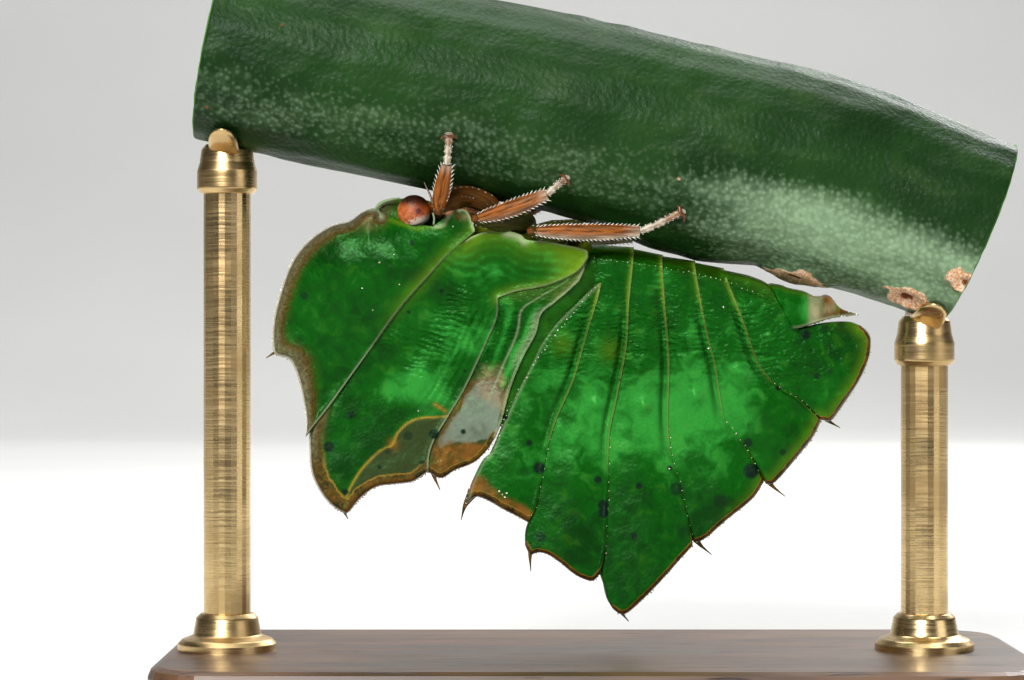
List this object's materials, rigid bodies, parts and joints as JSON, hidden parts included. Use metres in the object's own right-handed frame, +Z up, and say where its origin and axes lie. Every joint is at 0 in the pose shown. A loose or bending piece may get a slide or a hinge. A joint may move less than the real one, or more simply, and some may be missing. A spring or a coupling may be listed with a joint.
{
  "type": "treehopper nymph on a stem",
  "caption": "Life-size still model of a leaf-like green treehopper nymph hanging upside down under a cut green stem, held over a flat display base by short rods.",
  "frame": {"origin": "centre of the display base's underside", "axes": "+X from the insect's head to its tail, +Y across it from its right side to its left, +Z up"},
  "size_m": [0.02, 0.0096, 0.0177],
  "materials": {
    "leaf_green": "glossy, finely wrinkled leaf-green cuticle with brown margins",
    "rim_brown": "satin brown cuticle with a pale band",
    "eye": "satin orange-red compound eye, mottled",
    "leg": "satin orange-brown cuticle",
    "stem": "waxy green bark with a soft sheen",
    "stand": "dark oiled wood with a satin sheen",
    "stand_brass": "turned brass with fine marks round the rods"
  },
  "bodies": {
    "root": {"head": "leaf_green", "pronotum": "leaf_green", "thorax": "leaf_green", "wing_pad_right": "leaf_green", "wing_pad_left": "leaf_green", "abdomen": "leaf_green", "anal_tube": "rim_brown", "eye_right": "eye", "eye_left": "eye", "beak": "leg", "antenna_right": "leg", "antenna_left": "leg", "leg_fore_right": "leg", "leg_fore_left": "leg", "leg_mid_right": "leg", "leg_mid_left": "leg", "leg_hind_right": "leg", "leg_hind_left": "leg", "perch_stem": "stem", "stand_base": "stand", "stand_rod_left": "stand_brass", "stand_rod_right": "stand_brass"}
  },
  "joints": []
}
